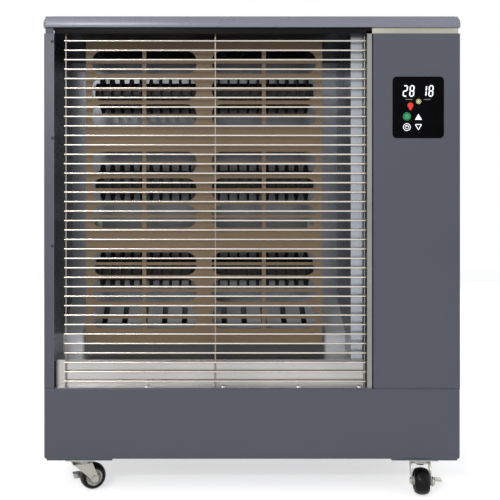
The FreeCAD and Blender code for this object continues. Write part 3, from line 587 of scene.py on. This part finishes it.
def headTree():
    tree, given, out = startTree("screwHeads", head)
    link = tree.links.new
    take = given.outputs
    dome = geoNode(tree, "MeshUVSphere", Segments=20, Rings=10)
    flat = geoNode(tree, "Transform")
    link(dome.outputs["Mesh"], flat.inputs["Geometry"])
    link(vectorOf(tree, take["radius"], take["radius"], take["rise"]), flat.inputs["Scale"])
    slot = geoNode(tree, "MeshCube")
    bar = tree.nodes.new("ShaderNodeVectorMath")
    bar.operation = "MULTIPLY"
    bar.inputs[1].default_value = crossSlot
    link(vectorOf(tree, take["radius"], take["radius"], take["rise"]), bar.inputs[0])
    link(bar.outputs[0], slot.inputs["Size"])
    lift = geoNode(tree, "Transform")
    link(slot.outputs["Mesh"], lift.inputs["Geometry"])
    link(vectorOf(tree, None, None, take["rise"]), lift.inputs["Translation"])
    cross = geoNode(tree, "Transform", Rotation=(0, 0, math.pi / 2))
    link(lift.outputs["Geometry"], cross.inputs["Geometry"])
    cut = geoNode(tree, "MeshBoolean")
    cut.operation = "DIFFERENCE"
    cut.solver = "EXACT"
    link(flat.outputs["Geometry"], cut.inputs["Mesh 1"])
    link(lift.outputs["Geometry"], cut.inputs["Mesh 2"])
    link(cross.outputs["Geometry"], cut.inputs["Mesh 2"])
    spread = geoNode(tree, "InstanceOnPoints")
    link(take["Geometry"], spread.inputs["Points"])
    link(cut.outputs["Mesh"], spread.inputs["Instance"])
    link(take["turn"], spread.inputs["Rotation"])
    real = geoNode(tree, "RealizeInstances")
    link(spread.outputs["Instances"], real.inputs["Geometry"])
    paint = geoNode(tree, "SetMaterial")
    link(real.outputs["Geometry"], paint.inputs["Geometry"])
    link(take["finish"], paint.inputs["Material"])
    link(paint.outputs["Geometry"], out.inputs["Geometry"])
    return tree


headGrower = headTree()
quarter = math.pi / 2
headSets = {
    "ledgeScrews": {"radius": 0.0042, "rise": 0.0022, "turn": (0, 0, 0.5), "finish": screwZinc,
                    "places": [(x, -0.1775, 0.1799) for x in (-0.176, -0.048, 0.078, 0.18)]},
    "flangeRivets": {"radius": 0.0026, "rise": 0.0012, "turn": (quarter, 0, 0), "finish": blackPlastic,
                     "places": [(-0.332, -0.1869, z) for z in (0.757, 0.596, 0.4165)]},
    "backScrews": {"radius": 0.0036, "rise": 0.0018, "turn": (-quarter, 0, 0), "finish": screwZinc,
                   "places": [(x, 0.1402, z) for x in (-0.336, 0.336) for z in (0.2, 0.38, 0.57, 0.755)]
                   + [(x, 0.1402, 0.755) for x in (-0.12, 0.12)]},
}
for label, heads in headSets.items():
    headMesh = grow(label, headGrower, heads, heads["places"])
    smooth(headMesh, 40)
    pieceFrom(label, headMesh, None, "cabinet")
print("screws set")


# Top cover: pressed lid whose lip bows outwards, so that it shades from light above to dark below
cover = {"corner": 0.006, "steps": 8, "wall": 0.0012, "turnIn": 0.012,
         "lip": [(0.0008, 0.0), (0.0002, 0.0012), (0.0, 0.0035), (0.0, 0.0075), (0.0004, 0.0108),
                 (0.0012, 0.0138), (0.0025, 0.0164), (0.0044, 0.0184), (0.0068, 0.0196), (0.0095, 0.02)]}


def roundRing(bm, low, high, inset, z):
    x0, y0, x1, y1 = low.x + inset, low.y + inset, high.x - inset, high.y - inset
    corner = cover["corner"]
    ring = []
    for cx, cy, start in ((x1 - corner, y1 - corner, 0), (x0 + corner, y1 - corner, 90),
                          (x0 + corner, y0 + corner, 180), (x1 - corner, y0 + corner, 270)):
        ring += arcPoints(cx, cy, corner, start, start + 90, cover["steps"])
    return [bm.verts.new((x, y, z)) for x, y in ring]


def bridge(bm, here, there):
    for i in range(len(here)):
        j = (i + 1) % len(here)
        bm.faces.new((here[i], here[j], there[j], there[i]))


def coverMesh():
    low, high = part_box("top_cover")
    bm = bmesh.new()
    outside = [roundRing(bm, low, high, inset, low.z + rise) for inset, rise in cover["lip"]]
    wall = cover["wall"]
    inside = [roundRing(bm, low, high, inset + wall, low.z + rise - (wall if rise > cover["turnIn"] else 0))
              for inset, rise in cover["lip"]]
    for rings in (outside, inside):
        for here, there in zip(rings, rings[1:]):
            bridge(bm, here, there)
        bm.faces.new(rings[-1])
    bridge(bm, outside[0], inside[0])
    return meshFrom("topCover", bm, 30)


coverPiece = pieceFrom("topCover", coverMesh(), coverLitPaint, "cabinet")
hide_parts("top_cover")
print("cover pressed")


# Frame under the cover: bare over the column and behind, painted at the left, near black over the chamber as
# painted shade under the cover
rail = {"wall": 0.0015, "openLeft": -0.3304, "openRight": 0.2003, "soft": 0.0003}


def wallsMesh(name, walls, low, high):
    bm = bmesh.new()
    for x0, x1, y0, y1 in walls:
        outline = [(x0, low.z), (x1, low.z), (x1, high.z), (x0, high.z)]
        addSoft(bm, lambda part: addPlate(part, outline, y0, y1), rail["soft"])
    return meshFrom(name, bm, 40)


def foldFrame():
    low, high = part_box("top_frame")
    wall, left, right = rail["wall"], rail["openLeft"], rail["openRight"]
    face = low.y + wall
    bare = [(high.x - wall, high.x, low.y, high.y), (low.x, high.x - wall, high.y - wall, high.y),
            (right, high.x - wall, low.y, face)]
    painted = [(low.x, low.x + wall, low.y, high.y - wall), (low.x + wall, left, low.y, face)]
    lintel = [(left, right, low.y, face)]
    bareMesh = wallsMesh("coverFrame", bare, low, high)
    framePiece = pieceFrom("coverFrame", bareMesh, zincSheet, "cabinet")
    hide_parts("top_frame")
    pieceFrom("frameLeft", wallsMesh("frameLeft", painted, low, high), slatePaint, "cabinet")
    lintelMesh = wallsMesh("frameLintel", lintel, low, high)
    pieceFrom("frameLintel", lintelMesh, lintelShadeSheet, "cabinet")


foldFrame()
print("frame folded")


# Touch panel symbols: two plain seven-bar numbers, two marks and four keys, lit behind the glass
display = {"y": -0.1876, "proud": 0.0003, "sunk": 0.0002, "low": 0.6643, "high": 0.6842, "digit": 0.0088,
           "space": 0.0022, "stroke": 0.0027, "gap": 0.0003, "slant": 0.07,
           "numbers": {"28": 0.2497, "18": 0.2814}}
bars = {"1": "bc", "2": "abged", "8": "abcdefg"}
keys = {"flame": (0.2633, 0.6502), "green": (0.2574, 0.632), "white": (0.2574, 0.6142), "up": (0.2766, 0.631),
        "down": (0.2766, 0.6144), "mode": (0.2769, 0.6568), "half": 0.0058, "frameHalf": 0.0052,
        "line": 0.0006, "legendX": (0.2608, 0.2911), "legendZ": 0.6601, "legendHalf": 0.006}
faceY, backY = display["y"] - display["proud"], display["y"] + display["sunk"]


def addBar(bm, x0, z0, x1, z1, half, lean=0.0):
    run = Vector((x1 - x0, z1 - z0)).normalized()
    side = Vector((-run.y, run.x)) * half
    tip = run * half
    a, b = Vector((x0, z0)), Vector((x1, z1))
    ring = [a, a + tip + side, b - tip + side, b, b - tip - side, a + tip - side]
    addPlate(bm, [(p.x + lean * (p.y - display["low"]), p.y) for p in ring], faceY, backY)


def addNumber(bm, number, left):
    half = display["stroke"] / 2
    low, high = display["low"] + half, display["high"] - half
    mid = (low + high) / 2
    gap = display["gap"]
    for i, digit in enumerate(number):
        x0 = left + i * (display["digit"] + display["space"]) + half
        x1 = x0 + display["digit"] - 2 * half
        lines = {"a": (x0, high, x1, high), "b": (x1, mid, x1, high), "c": (x1, low, x1, mid),
                 "d": (x0, low, x1, low), "e": (x0, low, x0, mid), "f": (x0, mid, x0, high),
                 "g": (x0, mid, x1, mid)}
        for bar in bars[digit]:
            ax, az, bx, bz = lines[bar]
            run = Vector((bx - ax, bz - az)).normalized() * gap
            addBar(bm, ax + run.x, az + run.y, bx - run.x, bz - run.y, half - gap, display["slant"])


def symbolPiece(name, mat, draw):
    bm = bmesh.new()
    draw(bm)
    return pieceFrom(name, meshFrom(name, bm), mat, "cabinet")


def addDisc(bm, x, z, radius, steps=36):
    addPlate(bm, arcPoints(x, z, radius, 0, 360 - 360 / steps, steps - 1), faceY, backY)


def addRing(bm, x, z, outer, inner, steps=36):
    place = Matrix.Translation((x, 0, z))
    turnedRing(bm, [(inner, faceY), (outer, faceY), (outer, backY), (inner, backY)], place, steps)


def triangle(x, z, half, sign):
    return [(x - half, z - sign * half * 0.8), (x + half, z - sign * half * 0.8), (x, z + sign * half * 0.9)]


def drawNumbers(bm):
    for number, left in display["numbers"].items():
        addNumber(bm, number, left)


# Rounded bulb on a narrow foot
def drawFlame(bm):
    x, z = keys["flame"]
    foot = [(x - 0.0022, z - 0.0052), (x - 0.0016, z - 0.0078),
            (x + 0.0016, z - 0.0078), (x + 0.0022, z - 0.0052)]
    addPlate(bm, arcPoints(x, z, 0.0048, -40, 220, 20) + foot, faceY, backY)


# A rim and a face, with a dark ring between them
def drawGreenKey(bm):
    x, z = keys["green"]
    addRing(bm, x, z, 0.0066, 0.0057)
    addDisc(bm, x, z, 0.0048)


def drawWhiteKey(bm):
    x, z = keys["white"]
    addRing(bm, x, z, 0.0063, 0.0053)
    addRing(bm, x, z, 0.0035, 0.0026)
    addBar(bm, x, z - 0.0002, x, z + 0.0024, 0.0005)


def drawUpKey(bm):
    x, z = keys["up"]
    addPlate(bm, triangle(x, z, keys["half"], 1), faceY, backY)


# Outline of a triangle as three bars
def drawDownKey(bm):
    x, z = keys["down"]
    corners = triangle(x, z, keys["frameHalf"], -1)
    for (ax, az), (bx, bz) in zip(corners, corners[1:] + corners[:1]):
        addBar(bm, ax, az, bx, bz, keys["line"])


def drawMode(bm):
    x, z = keys["mode"]
    addRing(bm, x, z, 0.0042, 0.0034, 28)
    addDisc(bm, x, z, 0.0024, 24)


def drawLegends(bm):
    z, half = keys["legendZ"], keys["legendHalf"]
    for x in keys["legendX"]:
        addBar(bm, x - half, z, x + half, z, keys["line"])


for label, mat, draw in (("symbolNumbers", whiteLight, drawNumbers), ("symbolFlame", redLight, drawFlame),
                         ("symbolGreenKey", greenLight, drawGreenKey),
                         ("symbolWhiteKey", whiteLight, drawWhiteKey),
                         ("symbolUpKey", whiteLight, drawUpKey), ("symbolDownKey", whiteLight, drawDownKey),
                         ("symbolMode", amberLight, drawMode), ("symbolLegends", dimLight, drawLegends)):
    symbolPiece(label, mat, draw)
print("touch panel lit")


# Casters: turned tyre with a mould line, ribbed hub and a pressed fork with soft edges
wheel = {"radius": 0.022, "half": 0.0125, "tyre": 0.008, "crown": 0.0065, "round": 0.0118, "line": 0.0006,
         "lineRise": 0.0003, "boss": 0.0065, "bossHalf": 0.0142, "rim": 0.0025, "webHalf": 0.004,
         "bore": 0.00305, "step": 0.0005, "ribs": 6, "ribHalf": 0.0009, "ribDrop": 0.0022}
fork = {"nose": -0.019, "heel": 0.013, "inner": 0.0145, "sheet": 0.002, "crownLow": 0.0482,
        "crownHigh": 0.0502, "race": 0.016, "raceTop": 0.0527, "raceEdge": 0.0006, "sink": 0.0002,
        "stem": 0.00405, "foot": 0.007, "trail": 0.018, "soft": 0.0006}


def tyreProfile():
    w = wheel
    out, inn = w["radius"], w["radius"] - w["tyre"]
    flat = out - w["lineRise"]
    edge = w["half"] - w["round"]
    right = [(flat - w["crown"] + w["crown"] * math.cos(t), edge + w["round"] * math.sin(t))
             for t in (math.radians(9 * i) for i in range(11))]
    left = [(r, -h) for r, h in right[::-1]]
    line = [(flat, -w["line"] * 1.6), (out, -w["line"]), (out, w["line"]), (flat, w["line"] * 1.6)]
    return [(inn, -w["half"])] + left + line + right + [(inn, w["half"])]


def hubProfile():
    w = wheel
    rim = w["radius"] - w["tyre"]
    side = w["half"] - w["rim"]
    step = w["step"]
    half = [(w["bore"], w["bossHalf"]), (w["boss"] - step, w["bossHalf"]), (w["boss"], w["bossHalf"] - step),
            (w["boss"], w["webHalf"] + step), (w["boss"] + step, w["webHalf"]),
            (rim - w["rim"] - step, w["webHalf"]), (rim - w["rim"], w["webHalf"] + step),
            (rim - w["rim"], side - step), (rim - w["rim"] + step, side), (rim, side)]
    return half + [(r, -h) for r, h in half[::-1]]


def addHubRibs(bm, place):
    w = wheel
    inner = w["boss"] - w["step"]
    outer = w["radius"] - w["tyre"] - w["rim"] + w["step"]
    reach = w["half"] - w["rim"] - w["ribDrop"]
    rib = [(inner, -w["ribHalf"]), (outer, -w["ribHalf"]), (outer, w["ribHalf"]), (inner, w["ribHalf"])]
    for i in range(w["ribs"]):
        turn = place @ Matrix.Rotation(2 * math.pi * i / w["ribs"], 4, "Y")
        addPlate(bm, rib, -reach, reach, turn)


def forkMesh(name, place):
    f = fork
    bm = bmesh.new()
    outer = f["inner"] + f["sheet"]
    axle = wheel["radius"]
    foot = arcPoints(f["trail"], axle, f["foot"], 180, 360, 16)
    leg = [(f["nose"], f["crownHigh"])] + foot + [(f["heel"], f["crownHigh"])]
    for y0, y1 in ((-outer, -f["inner"]), (f["inner"], outer)):
        addSoft(bm, lambda part: addPlate(part, leg, y0, y1), f["soft"])
    crown = [(f["nose"], f["crownLow"]), (f["heel"], f["crownLow"]),
             (f["heel"], f["crownHigh"]), (f["nose"], f["crownHigh"])]
    addSoft(bm, lambda part: addPlate(part, crown, -outer, outer), f["soft"])
    seat, edge = f["crownHigh"] - f["sink"], f["raceEdge"]
    race = [(f["stem"], seat), (f["race"], seat), (f["race"], f["raceTop"] - edge),
            (f["race"] - edge, f["raceTop"]), (f["stem"], f["raceTop"])]
    upright = Matrix.Rotation(math.pi / 2, 4, "X")
    turnedRing(bm, race, upright, 48)
    bmesh.ops.transform(bm, matrix=place, verts=bm.verts)
    return meshFrom(name, bm, 40)


places = {joint["name"]: joint for joint in frame["joints"]}
for corner in ("front_left", "front_right", "rear_left", "rear_right"):
    roll = places["wheel_roll_" + corner]
    pivot = places["caster_swivel_" + corner]
    centre, axis = Vector(roll["pos_m"]), Vector(roll["axis"]).normalized()
    across = Vector((axis.y, -axis.x, 0))
    turn = Matrix((across, axis, Vector((0, 0, 1)))).transposed().to_4x4()
    place = Matrix.Translation(centre) @ turn
    bm = bmesh.new()
    turnedRing(bm, tyreProfile(), place, 72)
    name = "tyre_" + corner
    tyre = pieceFrom(name, meshFrom(name, bm, 35), tyreRubber, "wheel_" + corner)
    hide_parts("caster_tyre_" + corner)
    bm = bmesh.new()
    turnedRing(bm, hubProfile(), place, 64)
    addHubRibs(bm, place)
    name = "hub_" + corner
    hub = pieceFrom(name, meshFrom(name, bm, 35), hubPlastic, "wheel_" + corner)
    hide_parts("caster_hub_" + corner)
    stand = Matrix.Translation((pivot["pos_m"][0], pivot["pos_m"][1], 0)) @ turn
    name = "fork_" + corner
    body = pieceFrom(name, forkMesh(name, stand), casterZinc, "swivel_" + corner)
    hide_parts("caster_fork_" + corner)
print("casters made")


# Studio: pale floor, white surround, a large soft key from the upper left, a weaker fill, a front wash,
# a strip whose glint runs along the left of the cover, and a lamp for the back
studio = {"floor": 3.6, "tone": 0.9, "glow": 0.61, "sky": 0.35}
lamps = {
    "keyLamp": {"power": 16.0, "size": 1.6, "where": (-1.5, -1.7, 2.1), "aim": (0, 0, 0.45)},
    "fillLamp": {"power": 6.0, "size": 1.8, "where": (1.9, -1.3, 1.2), "aim": (0, 0, 0.4)},
    "washLamp": {"power": 4.0, "size": 2.2, "where": (-0.1, -2.6, 0.9), "aim": (0, 0, 0.4)},
    "glintLamp": {"power": 12.0, "size": 0.7, "tall": 0.12, "where": (-0.74, -2.0, 1.25),
                  "aim": (-0.3, 0, 0.78)},
    "rearLamp": {"power": 14.0, "size": 1.8, "where": (0.6, 2.4, 1.6), "aim": (0, 0, 0.4)},
}


# One for what the camera, a mirror or a pane sees straight on, nought for light on the object
def seenRays(tree):
    path = tree.nodes.new("ShaderNodeLightPath")
    both = tree.nodes.new("ShaderNodeMath")
    both.operation = "ADD"
    both.use_clamp = True
    tree.links.new(path.outputs["Is Glossy Ray"], both.inputs[0])
    tree.links.new(path.outputs["Is Transmission Ray"], both.inputs[1])
    shown = tree.nodes.new("ShaderNodeMath")
    shown.operation = "ADD"
    shown.use_clamp = True
    tree.links.new(path.outputs["Is Camera Ray"], shown.inputs[0])
    tree.links.new(both.outputs[0], shown.inputs[1])
    return shown.outputs[0]


def addFloor():
    half = studio["floor"]
    mesh = bpy.data.meshes.new("studioFloor")
    corners = [(-half, -half, 0), (half, -half, 0), (half, half, 0), (-half, half, 0)]
    mesh.from_pydata(corners, [], [(0, 1, 2, 3)])
    floor = bpy.data.objects.new("studioFloor", mesh)
    mat, tree, shader, coords = startMaterial("studioFloor")
    speck = noiseNode(tree, coords, 25.0, 3.0)
    tone = studio["tone"]
    shade = rampNode(tree, speck, [(0.3, grey(tone * 0.985)), (0.7, grey(tone))])
    tree.links.new(shade, shader.inputs["Base Color"])
    shader.inputs["Roughness"].default_value = 0.9
    shader.inputs["Emission Color"].default_value = grey(1.0)
    glow = tree.nodes.new("ShaderNodeMath")
    glow.operation = "MULTIPLY"
    glow.inputs[1].default_value = studio["glow"]
    tree.links.new(seenRays(tree), glow.inputs[0])
    tree.links.new(glow.outputs[0], shader.inputs["Emission Strength"])
    mesh.materials.append(mat)
    bpy.context.scene.collection.objects.link(floor)
    return floor


def addLamp(name):
    plan = lamps[name]
    lamp = bpy.data.lights.new(name, "AREA")
    lamp.energy = plan["power"]
    lamp.shape = "RECTANGLE"
    lamp.size = plan["size"]
    lamp.size_y = plan.get("tall", plan["size"])
    lampObject = bpy.data.objects.new(name, lamp)
    lampObject.location = plan["where"]
    ray = Vector(plan["aim"]) - Vector(plan["where"])
    lampObject.rotation_euler = ray.to_track_quat("-Z", "Y").to_euler()
    bpy.context.scene.collection.objects.link(lampObject)
    return lampObject


def addWorld():
    world = bpy.data.worlds.new("studioWorld")
    world.use_nodes = True
    tree = world.node_tree
    tree.nodes.clear()
    soft = tree.nodes.new("ShaderNodeBackground")
    soft.inputs["Color"].default_value = (0.96, 0.97, 1.0, 1)
    soft.inputs["Strength"].default_value = studio["sky"]
    white = tree.nodes.new("ShaderNodeBackground")
    white.inputs["Color"].default_value = (1, 1, 1, 1)
    mix = tree.nodes.new("ShaderNodeMixShader")
    out = tree.nodes.new("ShaderNodeOutputWorld")
    tree.links.new(seenRays(tree), mix.inputs["Fac"])
    tree.links.new(soft.outputs["Background"], mix.inputs[1])
    tree.links.new(white.outputs["Background"], mix.inputs[2])
    tree.links.new(mix.outputs["Shader"], out.inputs["Surface"])
    bpy.context.scene.world = world


addFloor()
addLamp("keyLamp")
addLamp("fillLamp")
addLamp("washLamp")
addLamp("glintLamp")
addLamp("rearLamp")
addWorld()

# Camera level with the chamber, shifted as the photo's crop is
view = {"where": (-0.0632, -1.387, 0.493), "lens": 51.95, "shiftX": 0.072, "shiftY": -0.10}
lens = bpy.data.cameras.new("photoCamera")
lens.lens = view["lens"]
lens.sensor_width = 36.0
lens.shift_x = view["shiftX"]
lens.shift_y = view["shiftY"]
lens.clip_start = 0.01
camera = bpy.data.objects.new("photoCamera", lens)
camera.location = view["where"]
camera.rotation_euler = (math.pi / 2, 0, 0)
bpy.context.scene.collection.objects.link(camera)
bpy.context.scene.camera = camera
bpy.context.scene.view_settings.view_transform = "Standard"
print("studio ready")
